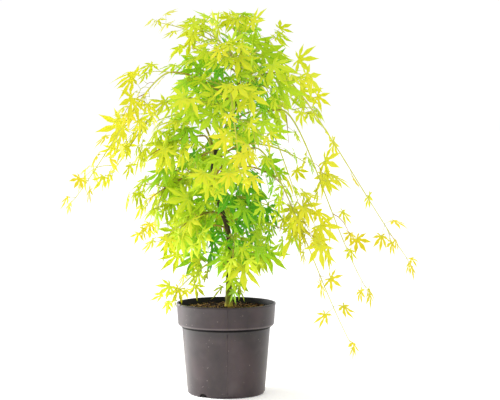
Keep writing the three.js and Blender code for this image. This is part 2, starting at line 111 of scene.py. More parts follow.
LEAF = Sizes(angles=(-86, -42, 0, 42, 86), lengths=(0.68, 0.92, 1, 0.92, 0.68))
YOUNG = Sizes(angles=(-46, 0, 46), lengths=(0.8, 1, 0.8))
# How a leaf is held: its stalk as a share of its reach, the least bend there, and how far the blade droops.
POISE = Sizes(shrink=0.25, stalk=0.55, bend=0.4, droop=0.16, hub=0.15, stalk_radii=(0.55, 0.4, 0.38, 0.42))

# A wing lets fine sprays grow outside the tree's heart: the share of them that do, and the shares of the
# stem's length between which they do.
GROWTH = Sizes(
    seed=7, seed_step=1009, gap=29, reach=55, share=0.34, thin=0.06, first=14, last=10, end=3, stagger=3.2,
    tries=12, apart=4, margin=2.5, limb_margin=5, pot_margin=3, rise=0.5, arch=None, hang=-0.3,
    wing=(0.07, 0, 0.7), life_size=1, slim=0.86,
)
HABITS = {
    "whip": Sizes(gap=66, reach=44, share=0.12, thin=0.25, wing=(0, 0, 0), life_size=0.95, slim=0.75),
    "tuft": Sizes(gap=22, reach=44, share=0, thin=0),
}
HEAD = Sizes(
    tiers=("top", "crown", "upper", "high", "middle", "low"), per_tier=5, count=27, turn=137.508, first=84,
    middle=430, boughs=(0.38, 0.74), at=(0, 0.25, 0.5, 0.75, 1), start=(640, 560, 464, 372, 286),
    arch_out=(0, 40, 48, 44, 0), arch_rise=(0, 46, 44, 38, 0),
    tip_out=(62, 146, 160, 144, 100), tip_rise=(72, 46, 12, -8, -26),
)
SIDES = ("right", "back_right", "back", "back_left", "left", "front_left", "front", "front_right")


def lone(name, start, bearing, tip, **more):
    """A single cascade: its start on the trunk, its bearing, and how far out and how high its tip lies."""
    return Sizes(name=name, start=start, bearing=bearing, tip=tip, **more)


LONE = (
    lone("tuft_leader", TRUNK.top, 300, (30, 708)),
    lone("tuft_top_left", 633, 184, (126, 706), life_size=0.85),
    lone("whip_right_outer", 575, 350, (345, 264), arch=(96, 612), hang=0, wing=(0.16, 0, 0.1)),
    lone("whip_right_middle", 466, 4, (268, 202), arch=(104, 542), hang=0.15, wing=(0.03, 0.1, 0.5)),
    lone("whip_right_inner", 400, 330, (262, 120), arch=(64, 470), hang=0.05, wing=(0.2, 0.24, 0.46)),
    lone("whip_left", 549, 203, (300, 378), arch=(110, 612), hang=0, gap=48, thin=0.1,
         wing=(0.2, 0.06, 0.24)),
    lone("drape_left", 527, 176, (220, 420), arch=(88, 566), hang=-0.2, gap=30, wing=(0.1, 0.25, 0.6)),
    lone("drape_front", 534, 278, (196, 430), arch=(66, 592), hang=-0.2, gap=32),
    lone("whip_back_left", 457, 130, (256, 300), arch=(96, 530), hang=0),
    lone("whip_back_right", 501, 50, (262, 290), arch=(94, 540), hang=0),
    lone("tuft_rim_left", 250, 204, (112, 192), life_size=0.95),
    lone("tuft_foot", 226, 285, (40, 214), life_size=1.05),
)

# How the growth is carried on to finer sprays, one every gap along a stem. Leaf hubs stay apart, and tips lie
# no further than out from their stem and lap no more than overlap into a neighbour's space.
SPRAY = Sizes(
    seed=90001, seed_step=577, gap=3, length=(12, 46), sink=0.25, pair_gap=20, reach=(32, 60), young=0.3,
    rise=0, out=96, apart=23.5, tries=8, overlap=26, limb_margin=2, box_margin=2,
)
# The tree's heart, a column with a domed top round a line a little off the trunk, where all sprays grow.
HEART = Sizes(
    inner=20, radius=84, low=250, low_radius=57, widest_from=420, dome_from=560, top=720,
    off_from=(420, 560, 640, 690), off=(-14, -4, -4, -36),
)

# Blade outline along one lobe: how far along it each point of an edge lies, and how far to the side.
LOBE_EDGE = ((0.31, 0.074), (0.45, 0.118), (0.57, 0.128), (0.61, 0.108), (0.76, 0.066), (0.79, 0.048))
LOBE_RIB = (0.38, 0.56, 0.74)
VEIN = Sizes(shares=(0.03, *LOBE_RIB), widths=(0.007, 0.006, 0.005, 0.003), end=0.93, lift=0.002)
BASAL = Sizes(angle=40, length=0.42)
SINUS = Sizes(inner=0.22, outer=0.16)
# How far single blades differ. The draws of each range follow in this order.
BLADE = Sizes(
    spread=(0.86, 1.07), size=(0.94, 1.04), width=(0.85, 1.12), phase=(0, 6),
    droop=(0.1, 0.34), fold=(0.1, 0.75), twist=(-0.18, 0.18),
)
RIPPLE = Sizes(height=0.02, turns=9)

# Colours, in sRGB from 0 to 255

TINTS = {
    "gold": (232, 217, 46),
    "yellow": (228, 225, 46),
    "lemon": (220, 226, 46),
    "lime": (211, 228, 46),
    "fresh": (195, 226, 46),
    "green": (168, 220, 46),
    "deep": (116, 198, 50),
}
# How sunny a leaf must lie for each tint, and what makes it so: its distance out, its height and its shoot.
TINT_MARKS = (1.02, 0.73, 0.54, 0.41, 0.30, 0.20, -1.0)
SUNNY = Sizes(out=1 / 300, left=0.0002, heights=(320, 400, 560, 710), extra=(0.1, 0.02, 0.01, 0.27))
YOUNG_SHOOTS = {"whip": 0.26, "tuft": 0.2, "drap": 0.12}
# How far single leaves and twigs differ in size and colour.
LOOKS = Sizes(seed=4242, sizes=(0.76, 1.02), lean=0.15, stray=0.06, brown=0.3, brown_lean=0.12)
COLOURS = {
    "vein": (194, 222, 80),
    "stem_lime": (204, 204, 84),
    "stem_brown": (172, 136, 62),
    "trunk_yellow": (204, 180, 70),
    "trunk_moss": (122, 122, 40),
    "trunk_brown": (84, 66, 44),
    "trunk_dark": (44, 36, 30),
    "bough_brown": (158, 134, 62),
    "bough_lime": (190, 184, 76),
    "pot": (31, 18, 21),
    "pot_scuff": (54, 38, 41),
    # A painted highlight, for the band's lower edge.
    "pot_edge": (104, 92, 92),
    # Painted shade, for under the pot's band and its step.
    "pot_shade": (9, 7, 8),
    "pot_dust": (58, 46, 48),
    "pot_speck": (126, 114, 106),
    # Painted shade, for the pot's inner wall.
    "pot_inside": (11, 10, 10),
    "mix": (32, 23, 17),
    "mix_damp": (16, 12, 10),
    "crumb_dark": (34, 24, 18),
    "crumb_brown": (92, 62, 40),
    "fibre": (158, 122, 78),
}
TRUNK_BANDS = (
    (0.015, "yellow"), (0.045, "moss"), (0.125, "moss"), (0.14, "dark"), (0.155, "dark"), (0.17, "moss"),
    (0.19, "moss"), (0.205, "dark"), (0.25, "brown"), (0.5, "dark"), (1, "brown"),
)
POT_LEVELS = (
    # Painted shade under the pot's band, darkest a little below its foot.
    Sizes(colour="pot_shade", heights=(-22, -5, 1), share=0.75),
    # A pale line along the band's lower edge: a painted highlight.
    Sizes(colour="pot_edge", heights=(0.4, 2, 4.4), share=0.55),
)

# Camera and lamps, in metres, and the floor

CAMERA = Sizes(eye=(0.0457, -3.0, 0.530), aim=(0.0457, 0, 0.370), field=18.05, sensor=36, far=50)
LAMPS = (
    Sizes(name="key", place=(-1.6, -2.2, 2.6), size=1.6, power=5),
    Sizes(name="back", place=(0.6, 2.4, 2.4), size=1.8, power=5),
    Sizes(name="rim", place=(-1.9, 1.2, 0.2), size=0.9, power=42),
)
LAMP_AIM = (0, 0, 0.3)
FLOOR_GLOW = Sizes(place=(-1.3, 0.3, 1.0), aim=(-0.38, 0.02, 0), size=0.1, power=200, cone=32, blend=0.7)
FLOOR = Sizes(half=60000, level=-0.2, colour=(255, 253, 253), glow=(1, 0.99, 0.99, 1), glow_strength=0.2)
SKY_STRENGTH = 1.02


# Vectors and numbers


def unit(vector):
    return vector / np.linalg.norm(vector)


def on_bearing(degrees, out, height):
    angle = math.radians(degrees)
    return np.array([out * math.cos(angle), out * math.sin(angle), height], float)


def around(turns, out, height):
    """Points round the pot's axis at many turns at once."""
    return np.stack(np.broadcast_arrays(out * np.cos(turns), out * np.sin(turns), height), axis=-1)


class Draws:
    """Numbers between 0 and 1 that are the same each time the tree is grown."""

    def __init__(self, seed):
        self.state = seed

    def __call__(self):
        self.state = (self.state * 1664525 + 1013904223) % 2**32
        return self.state / 2**32

    def between(self, low, high):
        return low + (high - low) * self()

    def jitter(self, amount):
        return np.array([self() - 0.5, self() - 0.5, self() - 0.5]) * 2 * amount


class Curve:
    """A line through space that is followed by its own length."""

    def __init__(self, point_at):
        self.point_at = point_at
        self.marks = np.linspace(0, 1, 201)
        steps = np.linalg.norm(np.diff(point_at(self.marks), axis=0), axis=1)
        self.lengths = np.concatenate([[0], np.cumsum(steps)])
        self.length = self.lengths[-1]

    def spaced(self, steps):
        shares = np.linspace(0, self.length, steps + 1)
        return self.point_at(np.interp(shares, self.lengths, self.marks))


def bezier(*controls):
    def point_at(marks):
        t = np.asarray(marks)[:, None]
        points = [np.tile(control, (len(t), 1)) for control in controls]
        while len(points) > 1:
            points = [(1 - t) * a + t * b for a, b in zip(points, points[1:])]
        return points[0]

    return Curve(point_at)


def waves(points, length, seed):
    """Smooth noise from about -1 to 1 at some points, with bumps about as long as length."""
    random = np.random.default_rng(seed)
    total = np.zeros(len(points))
    for _ in range(7):
        way = random.normal(size=3)
        way *= TURN / (length * random.uniform(0.7, 1.6)) / np.linalg.norm(way)
        total += np.sin(points @ way + random.uniform(0, TURN))
    return total / 3


# Meshes: lists of corners and faces that are joined into one piece


class Shape:
    def __init__(self):
        self.corners = []
        self.faces = []
        self.count = 0

    def add(self, corners, faces):
        self.corners.append(np.asarray(corners, float))
        self.faces.extend(tuple(corner + self.count for corner in face) for face in faces)
        self.count += len(corners)


def new_mesh(name, corners, faces):
    mesh = bpy.data.meshes.new(name)
    mesh.from_pydata((np.asarray(corners, float) * METRE).tolist(), [], faces)
    return mesh


def new_object(name, data):
    item = bpy.data.objects.new(name, data)
    bpy.context.scene.collection.objects.link(item)
    return item


def make_piece(name, shape, material, nodes, smooth=False):
    mesh = new_mesh(name, np.concatenate(shape.corners), shape.faces)
    mesh.materials.append(material)
    mesh.polygons.foreach_set("use_smooth", [smooth] * len(mesh.polygons))
    mesh.update()
    piece = new_object(name, mesh)
    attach(piece, "root")
    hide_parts(*nodes)
    return piece


def rings_along(points):
    """Two directions across a line of points at each of them, turning as little as they can."""
    along = np.gradient(points, axis=0)
    along /= np.linalg.norm(along, axis=1)[:, None]
    first = np.cross(along[0], UP if abs(along[0][2]) < 0.9 else np.array([1.0, 0, 0]))
    across = [unit(first)]
    for way in along[1:]:
        across.append(unit(across[-1] - way * np.dot(across[-1], way)))
    across = np.array(across)
    return across, np.cross(along, across)


def ring_faces(rings, sides):
    """The faces between rings of corners that follow each other."""
    faces = []
    for i in range(rings - 1):
        for k in range(sides):
            a, b = i * sides + k, i * sides + (k + 1) % sides
            faces.append((a, b, b + sides, a + sides))
    return faces


def tube_faces(rings, sides):
    last = (rings - 1) * sides
    return [*ring_faces(rings, sides), tuple(reversed(range(sides))), tuple(range(last, last + sides))]


def tube(shape, points, radii, sides):
    """A round closed tube. radii is one number a ring, or one for each corner of each ring."""
    points = np.asarray(points, float)
    radii = np.asarray(radii, float)
    if radii.ndim == 1:
        radii = radii[:, None]
    across, over = rings_along(points)
    turn = np.arange(sides) * TURN / sides
    ring = across[:, None] * np.cos(turn)[None, :, None] + over[:, None] * np.sin(turn)[None, :, None]
    corners = (points[:, None] + ring * radii[..., None]).reshape(-1, 3)
    shape.add(corners, tube_faces(len(points), sides))


def turned(shape, profile, sides, lift=None):
    """A profile of (radius, height) points turned round the pot's axis. It starts and ends on the axis."""
    turn = np.arange(sides) * TURN / sides
    inner = np.array(profile[1:-1], float)
    corners = around(turn, inner[:, :1], inner[:, 1:]).reshape(-1, 3)
    ends = np.array([[0, 0, profile[0][1]], [0, 0, profile[-1][1]]], float)
    if lift is not None:
        corners[:, 2] += lift(corners)
        ends[:, 2] += lift(ends)
    start, end = len(corners), len(corners) + 1
    faces = ring_faces(len(inner), sides)
    last = (len(inner) - 1) * sides
    for k in range(sides):
        faces.append((start, (k + 1) % sides, k))
        faces.append((end, last + k, last + (k + 1) % sides))
    shape.add(np.concatenate([corners, ends]), faces)


# Materials


def linear(colour):
    """An sRGB colour from 0 to 255 as the shader reads it."""
    shares = [channel / 255 for channel in colour]
    values = [share / 12.92 if share <= 0.04045 else ((share + 0.055) / 1.055) ** 2.4 for share in shares]
    return (*values, 1)


def principled(material):
    return material.node_tree.nodes["Principled BSDF"]


def plain(name, colour, roughness, specular=0.3):
    material = bpy.data.materials.new(name)
    material.use_nodes = True
    shader = principled(material)
    shader.inputs["Base Color"].default_value = linear(colour)
    shader.inputs["Roughness"].default_value = roughness
    shader.inputs["Specular IOR Level"].default_value = specular
    return material


def base_colour(material):
    return principled(material).inputs["Base Color"]


def add_node(material, kind, **values):
    """A shader node with some inputs set. Underscores stand for the spaces in an input's name."""
    node = material.node_tree.nodes.new(f"ShaderNode{kind}")
    for name, value in values.items():
        node.inputs[name.replace("_", " ")].default_value = value
    return node


def join(source, target):
    source.id_data.links.new(source, target)


def noise_of(material, scale, detail, stretch=(1, 1, 1)):
    mapping = add_node(material, "Mapping", Scale=stretch)
    noise = add_node(material, "TexNoise", Scale=scale, Detail=detail)
    join(add_node(material, "TexCoord").outputs["Object"], mapping.inputs["Vector"])
    join(mapping.outputs["Vector"], noise.inputs["Vector"])
    return noise.outputs["Fac"]


def height_share(material, low, high):
    """How far up between two heights each place lies."""
    split = add_node(material, "SeparateXYZ")
    share = add_node(material, "MapRange", From_Min=low * METRE, From_Max=high * METRE)
    join(add_node(material, "TexCoord").outputs["Object"], split.inputs["Vector"])
    join(split.outputs["Z"], share.inputs["Value"])
    return share.outputs["Result"]


def ramp_of(material, share, stops):
    """The colour at a share between stops, which are pairs of a position and a shader's colour."""
    ramp = add_node(material, "ValToRGB")
    elements = ramp.color_ramp.elements
    while len(elements) < len(stops):
        elements.new(0.5)
    for element, (position, colour) in zip(elements, stops):
        element.position = position
        element.color = colour
    join(share, ramp.inputs["Fac"])
    return ramp.outputs["Color"]


def mix_in(material, colour, share):
    """Lays one more colour over a material's own, as much as a share says at each place."""
    target = base_colour(material)
    mix = add_node(material, "Mix")
    mix.data_type = "RGBA"
    mix.inputs["B"].default_value = linear(COLOURS[colour])
    join(target.links[0].from_socket, mix.inputs["A"])
    join(share, mix.inputs["Factor"])
    join(mix.outputs["Result"], target)


def patchy(name, low, high, scale, stretch, roughness, ends=(0.42, 0.62), specular=0.3):
    """Two colours mixed by noise whose patches are stretched along each axis."""
    material = plain(name, COLOURS[low], roughness, specular)
    stops = [(end, linear(COLOURS[colour])) for end, colour in zip(ends, (low, high))]
    join(ramp_of(material, noise_of(material, scale, 6, stretch), stops), base_colour(material))
    return material


def add_specks(material, colour, scale, ends):
    """Small light flecks over a patchy material's colour."""
    fleck = add_node(material, "MapRange", From_Min=ends[0], From_Max=ends[1])
    join(noise_of(material, scale, 1), fleck.inputs["Value"])
    mix_in(material, colour, fleck.outputs["Result"])


def add_levels(material):
    """Painted shade under the pot's band and a painted highlight line along the band's lower edge, by height.
    """
    for level in POT_LEVELS:
        low, middle, high = [POT.band_foot + height for height in level.heights]
        grey = (level.share, level.share, level.share, 1)
        stops = [(0, (0, 0, 0, 1)), ((middle - low) / (high - low), grey), (1, (0, 0, 0, 1))]
        mix_in(material, level.colour, ramp_of(material, height_share(material, low, high), stops))


def banded_bark(name):
    """Bark that is mossy at the foot, with dark bands, and brown above."""
    material = plain(name, COLOURS["trunk_moss"], 0.8)
    shift = add_node(material, "Math")
    shift.operation = "MULTIPLY_ADD"
    join(noise_of(material, 90, 5), shift.inputs[0])
    shift.inputs[1].default_value = BARK.band_blur
    join(height_share(material, TRUNK.foot, TRUNK.top), shift.inputs[2])
    stops = [(position, linear(COLOURS[f"trunk_{colour}"])) for position, colour in TRUNK_BANDS]
    join(ramp_of(material, shift.outputs["Value"], stops), base_colour(material))
    return material


# Pot


def pot_profile():
    """The pot's outline from its axis under the floor, up the outside, over the rim and down the inside."""
    soft = POT.edge_round
    inner_rim = POT.rim_radius - POT.lip_width - POT.wall
    lip = POT.height - POT.lip_height
    round_foot = [
        (POT.foot_radius - POT.foot_round * (1 - math.sin(angle)), POT.foot_round * (1 - math.cos(angle)))
        for angle in np.linspace(0, math.pi / 2, 7)
    ]
    return [
        (0, 0),
        *round_foot,
        (POT.shoulder_radius - 0.1, POT.shoulder - soft),
        (POT.shoulder_radius + 0.5, POT.shoulder + 0.3),
        *[(POT.band_foot_radius + out, POT.band_foot + up) for out, up in POT.curl],
        *[(POT.rim_radius + out, lip + up) for out, up in POT.roll],
        (POT.rim_radius, POT.height - soft),
        (POT.rim_radius - 0.3, POT.height - 0.2),
        (POT.rim_radius - soft, POT.height),
        (inner_rim + soft, POT.height),
        (inner_rim, POT.height - soft),
        (inner_rim - 0.2, POT.height - 5),
        (POT.band_foot_radius - POT.wall, POT.band_foot + 1),
        (POT.shoulder_radius - POT.wall, POT.shoulder + 1),
        (POT.foot_radius - POT.wall, POT.floor),
        (0, POT.floor),
    ]


def make_pot():
    material = patchy("pot_plastic", "pot", "pot_scuff", 17, (1, 1, 0.8), 0.38, (0.4, 0.68), 0.5)
    add_specks(material, "pot_dust", 36, (0.5, 0.9))
    add_specks(material, "pot_speck", 300, (0.765, 0.79))
    add_levels(material)
    shape = Shape()
    turned(shape, pot_profile(), POT.sides)
    piece = make_piece("pot_shell", shape, material, ["pot"], smooth=True)
    for i in range(DRAIN.count):
        cut_notch(piece, DRAIN.bearing + 360 * i / DRAIN.count)
    piece.data.set_sharp_from_angle(angle=math.radians(POT.sharp_from))
    # The pot's inner wall gets a near-black material: painted shade.
    paint(piece, plain("pot_inside", COLOURS["pot_inside"], 0.5, 0.4), faces_inwards)
    # The step under the band gets a near-black material: painted shade.
    paint(piece, plain("pot_shade", COLOURS["pot_shade"], 0.6, 0.1), in_painted_shade_under_band)
    seam = Shape()
    body = [(POT.foot_radius, POT.foot_round), (POT.shoulder_radius, POT.shoulder)]
    band = [(POT.band_foot_radius, POT.band_foot + 1), (POT.rim_radius, POT.height - POT.lip_height)]
    shares = np.linspace(0.02, 0.97, SEAM.rings)
    for (low_radius, low), (high_radius, high) in (body, band):
        out = low_radius + (high_radius - low_radius) * shares - SEAM.sunk
        points = [on_bearing(SEAM.bearing, *place) for place in zip(out, low + (high - low) * shares)]
        tube(seam, points, np.full(SEAM.rings, SEAM.radius), 6)
    make_piece("pot_seam", seam, material, ["pot"], smooth=True)


def faces_inwards(face):
    inwards = face.normal.x * face.center.x + face.normal.y * face.center.y < 0
    return inwards and POT.floor < face.center.z / METRE < POT.height - 1


def in_painted_shade_under_band(face):
    """Whether a face of the pot's outside lies in the corner under its band, which is given painted shade."""
    return POT.shoulder < face.center.z / METRE < POT.band_foot + 0.2 and not faces_inwards(face)


def paint(piece, material, wanted):
    """Gives one more material to the faces that are wanted."""
    piece.data.materials.append(material)
    for face in piece.data.polygons:
        if wanted(face):
            face.material_index = len(piece.data.materials) - 1


def cut_notch(piece, bearing):
    """Cuts one drain notch, an arch through the pot's foot."""
    centre = on_bearing(bearing, POT.foot_radius, 0)
    across = on_bearing(bearing + 90, 1, 0)
    out = on_bearing(bearing, 1, 0)
    arch = [
        across * math.cos(angle) * DRAIN.width / 2 + UP * math.sin(angle) * DRAIN.height
        for angle in np.linspace(0, TURN, 24, endpoint=False)
    ]
    corners = [centre + out * way * DRAIN.depth / 2 + point for way in (-1, 1) for point in arch]
    cutter = new_object("notch", new_mesh("notch", corners, tube_faces(2, len(arch))))
    cut = piece.modifiers.new("notch", "BOOLEAN")
    cut.object = cutter
    cut.operation = "DIFFERENCE"
    cut.solver = "EXACT"
    graph = bpy.context.evaluated_depsgraph_get()
    result = bpy.data.meshes.new_from_object(piece.evaluated_get(graph))
    piece.modifiers.clear()
    piece.data = result
    bpy.data.objects.remove(cutter)


# Potting mix


def mix_height(points):
    """How far the potting mix stands over its level at some places, by its mound and its bumps."""
    radius = np.hypot(points[:, 0], points[:, 1])
    mound = MOUND.height * np.clip((MOUND.radius - radius) / (MOUND.radius - MOUND.flat_radius), 0, 1)
    rough = waves(points * [1, 1, 0], 16, 1) + 0.6 * waves(points * [1, 1, 0], 6, 2)
    calm = np.clip((radius - 6) / 12, 0.2, 1)
    return mound + MIX.roughness * rough * calm


def make_mix():
    inside = POT.wall + MIX.edge_gap
    nodes = ["potting_mix"]
    top = MIX.level - 1
    profile = [
        (0, POT.floor + MIX.edge_gap),
        (POT.foot_radius - inside, POT.floor + MIX.edge_gap),
        (POT.shoulder_radius - inside, POT.shoulder + 1),
        (POT.band_foot_radius - inside, POT.band_foot + 1.4),
    ]
    profile += [(radius, top) for radius in np.linspace(MIX.radius, 2, MIX.rings)]
    profile.append((0, top))
    shape = Shape()
    turned(shape, profile, MIX.sides, lambda points: mix_height(points) * (points[:, 2] > top - 0.5))
    material = patchy("mix_earth", "mix", "crumb_brown", 160, (1, 1, 1), 0.95, (0.45, 0.8))
    bed = make_piece("potting_mix_bed", shape, material, nodes, smooth=True)
    damp = plain("mix_damp", COLOURS["mix_damp"], 0.9)
    paint(bed, damp, lambda face: face.center.z / METRE < MIX.level - MIX.damp_depth)
    random = np.random.default_rng(CRUMBS.seed)
    for name, count in (("crumb_dark", CRUMBS.dark), ("crumb_brown", CRUMBS.brown)):
        crumbs = Shape()
        for place in mix_places(random, count):
            add_crumb(crumbs, place, random)
        make_piece(name, crumbs, plain(name, COLOURS[name], 0.95, 0.15), nodes)
    fibres = Shape()
    for place in mix_places(random, FIBRES.count):
        pitch = abs(random.normal(0, 0.16))
        turn = random.uniform(0, TURN)
        add_fibre(fibres, place, turn, pitch, random.uniform(*FIBRES.lengths), random)
    for bearing, out, turn in STANDING.places:
        foot = on_bearing(bearing, out, MIX.level)
        add_fibre(fibres, foot, turn, STANDING.pitch, STANDING.length, random)
    make_piece("mix_fibres", fibres, plain("fibre", COLOURS["fibre"], 0.85, 0.2), nodes)


def mix_places(random, count):
    """Places scattered over the potting mix, clear of the trunk's foot."""
    radius = CRUMBS.out * np.sqrt(random.uniform(0.012, 1, count))
    places = around(random.uniform(0, TURN, count), radius, MIX.level - 1.0)
    places = places[np.hypot(places[:, 0] - TRUNK.foot_x, places[:, 1]) > CRUMBS.clear]
    places[:, 2] += mix_height(places)
    return places


def add_crumb(shape, place, random):
    size = CRUMBS.smallest + (CRUMBS.largest - CRUMBS.smallest) * random.uniform() ** 2.4
    corners = np.array([[1, 0, 0], [-1, 0, 0], [0, 1, 0], [0, -1, 0], [0, 0, 1], [0, 0, -1]], float)
    corners *= random.uniform(0.55, 1.25, (6, 1)) * size / 2 * np.array([1, 1, 0.75])
    spin = np.linalg.qr(random.normal(size=(3, 3)))[0]
    faces = [(0, 2, 4), (2, 1, 4), (1, 3, 4), (3, 0, 4), (2, 0, 5), (1, 2, 5), (3, 1, 5), (0, 3, 5)]
    shape.add(corners @ spin + place + UP * size * 0.2, faces)


def add_fibre(shape, place, turn, pitch, long, random):
    """A thin bent chip of fibre that lies on the mix, or stands out of it where its pitch is steep."""
    way = np.array([math.cos(turn) * math.cos(pitch), math.sin(turn) * math.cos(pitch), math.sin(pitch)])
    bend = np.array([-math.sin(turn), math.cos(turn), 0.2]) * random.normal(0, 0.12) * long
    shares = np.linspace(0, 1, 4)
    points = [place + UP * 0.9 + way * long * share + bend * math.sin(math.pi * share) for share in shares]
    if np.hypot(*np.array(points)[:, :2].T).max() < FIBRES.out:
        tube(shape, points, FIBRES.radii, 4)


# Trunk, boughs and stems: where each one runs


def trunk_at(z):
    z = np.asarray(z, float)
    share = (z - TRUNK.foot) / (TRUNK.top - TRUNK.foot)
    bow_share = np.clip((z - TRUNK.bow_from) / (TRUNK.bow_to - TRUNK.bow_from), 0, 1)
    x = TRUNK.foot_x + TRUNK.lean * share**2 + TRUNK.bow * np.sin(math.pi * bow_share) ** 2
    y = TRUNK.sway * np.sin(TURN * share) * share
    return np.stack([x, y, z], axis=-1)


def trunk_radius(z):
    share = (z - TRUNK.foot) / (TRUNK.top - TRUNK.foot)
    flare = TRUNK.flare * np.exp((TRUNK.foot - z) / TRUNK.flare_height)
    return TRUNK.foot_radius + (TRUNK.top_radius - TRUNK.foot_radius) * share + flare


def head_cascades():
    cascades = []
    for i in range(HEAD.count):
        share = i / (HEAD.count - 1)
        rows = (HEAD.start, HEAD.arch_out, HEAD.arch_rise, HEAD.tip_out, HEAD.tip_rise)
        start, arch_out, arch_rise, tip_out, tip_rise = [np.interp(share, HEAD.at, row) for row in rows]
        bearing = (HEAD.first + HEAD.turn * i) % 360
        side = SIDES[math.floor(bearing / 45 + 0.5) % len(SIDES)]
        own = Sizes(name=f"{HEAD.tiers[i // HEAD.per_tier]}_{side}", start=start, bearing=bearing)
        own.tip = (tip_out, start + tip_rise)
        if HEAD.boughs[0] < share < HEAD.boughs[1]:
            own.arch = (arch_out, start + arch_rise)
        cascades.append(own)
    return cascades


def with_habit(cascade):
    """A cascade with its own values, and for the rest those of its habit or of the growth."""
    habit = HABITS.get(cascade.name[:4], Sizes())
    return Sizes(**{**vars(GROWTH), **vars(habit), **vars(cascade)})


def lay_out(cascade, index):
    """Where a cascade's bough and stem run."""
    root = trunk_at(cascade.start)
    end = on_bearing(cascade.bearing, *cascade.tip)
    foot = root
    rise = STEM.rises[1] if cascade.tip[1] > cascade.start else STEM.rises[0]
    heading = unit(on_bearing(cascade.bearing, 1, 0) + UP * rise)
    cascade.bough = None
    if cascade.start == TRUNK.top:
        heading = UP
        foot = root + GAP * UP
    if cascade.arch:
        arch_end = on_bearing(cascade.bearing, *cascade.arch)
        crook = root * (1 - BOUGH.crook) + arch_end * BOUGH.crook
        crook[2] = cascade.arch[1]
        cascade.bough = bezier(root, crook, arch_end)
        heading = unit(arch_end - crook)
        foot = arch_end + GAP * heading
    span = np.linalg.norm(end - foot)
    arrival = unit(unit(end - foot) + UP * cascade.hang)
    leave = foot + heading * min(span * STEM.bend, STEM.most_bend)
    cascade.stem = bezier(foot, leave, end - arrival * span * STEM.bend, end)
    steps = max(3, math.floor(cascade.stem.length / STEM.step_length + 0.5))
    cascade.trace = cascade.stem.spaced(steps)
    cascade.index = index
    return cascade


cascades = [lay_out(with_habit(own), i) for i, own in enumerate([*head_cascades(), *LONE])]


# Distances, to keep each leaf in its own cascade's space and off the limbs and the pot


def dot(a, b):
    return (a * b).sum(-1)


class Room:
    """Which cascade's stem each point lies nearest to."""

    def __init__(self, traces):
        self.starts = np.concatenate([trace[:-1] for trace in traces])
        self.steps = np.concatenate([np.diff(trace, axis=0) for trace in traces])
        self.squares = dot(self.steps, self.steps)
        self.firsts = np.cumsum([0] + [len(trace) - 1 for trace in traces[:-1]])

    def distances(self, points):
        away = points[:, None] - self.starts
        share = np.clip(dot(away, self.steps) / self.squares, 0, 1)
        off = np.linalg.norm(away - share[..., None] * self.steps, axis=-1)
        return np.minimum.reduceat(off, self.firsts, axis=1)

    def owned(self, points, index, margin, out=math.inf):
        off = self.distances(points)
        own = off[:, index].copy()
        off[:, index] = math.inf
        return bool((off.min(1) > own + margin).all() and own.max() < out)


def segment_distances(bones, others):
    """The distance between each of some segments and each of some others, given as pairs of ends."""
    a, b, c, d = bones[:, None, 0], bones[:, None, 1], others[None, :, 0], others[None, :, 1]
    u, v, w = b - a, d - c, a - c
    uu, uv, vv, uw, vw = dot(u, u), dot(u, v), dot(v, v), dot(u, w), dot(v, w)
    across = uu * vv - uv * uv
    safe = np.where(across > 1e-6, across, 1)
    s = np.where(across > 1e-6, np.clip((uv * vw - vv * uw) / safe, 0, 1), 0)
    t = np.clip((uv * s + vw) / vv, 0, 1)
    s = np.clip((uv * t - uw) / uu, 0, 1)
    return np.linalg.norm(w + s[..., None] * u - t[..., None] * v, axis=-1)


def segments_of(points):
    return np.stack([points[:-1], points[1:]], axis=1)


room = Room([own.trace for own in cascades])
trunk_points = trunk_at(np.linspace(TRUNK.foot, TRUNK.top, 31))
limb_bones = [segments_of(trunk_points)]
limb_radii = [trunk_radius(trunk_points[:-1, 2])]
for own in cascades:
    if own.bough:
        limb_bones.append(segments_of(own.bough.point_at(np.linspace(0, 1, 5))))
        limb_radii.append(np.full(4, BOUGH.foot_radius))
limb_bones = np.concatenate(limb_bones)
limb_radii = np.concatenate(limb_radii)


def clear_of_limbs(bones, margin):
    return bool((segment_distances(bones, limb_bones) > limb_radii + margin).all())


def clear_of_pot(points):
    out = np.hypot(points[:, 0], points[:, 1])
    outside = out > POT.rim_radius + GROWTH.pot_margin
    above = points[:, 2] > POT.height + GROWTH.pot_margin
    over_mix = (points[:, 2] > MIX.level + MOUND.height + GROWTH.pot_margin) & (out < POT.shoulder_radius)
    return bool((outside | above | over_mix).all())


# Growth: a stem with leaves in pairs, and side twigs that carry their own pairs


def outward(point, rise=GROWTH.rise):
    """The way out of the tree at a point, which with some rise also leads up near the top."""
    return unit(np.array([point[0], point[1], rise * (point[2] - HEAD.middle)]))


def frame_at(point, along):
    across = unit(np.cross(along, outward(point) * 0.6 + UP))
    return across, np.cross(across, along)


def along_trace(trace, distance):
    """The point a distance along a line of short segments, and the way the line runs there."""
    left = distance
    for i in range(1, len(trace)):
        step = trace[i] - trace[i - 1]
        long = np.linalg.norm(step)
        if left <= long or i == len(trace) - 1:
            return trace[i - 1] + step * left / long, step / long
        left -= long


def spot_on(trace, at, turn, reach=0, spray=0):
    """A spot on a stem or twig: its frame, and what the leaves that leave it share."""
    point, along = along_trace(trace, at)
    across, over = frame_at(point, along)
    return Sizes(point=point, along=along, across=across, over=over, turn=turn, reach=reach, spray=spray)


def side_of(spot, way):
    return spot.across * way * math.cos(spot.turn) + spot.over * way * math.sin(spot.turn)


def bent_twig(root, heading, long, sink):
    middle = root + heading * long * 0.5
    return [root, middle, middle + heading * long * 0.35 - UP * long * sink]


def has_room(points, own, margin, out=math.inf):
    return clear_of_pot(points) and room.owned(points, own.index, margin, out)


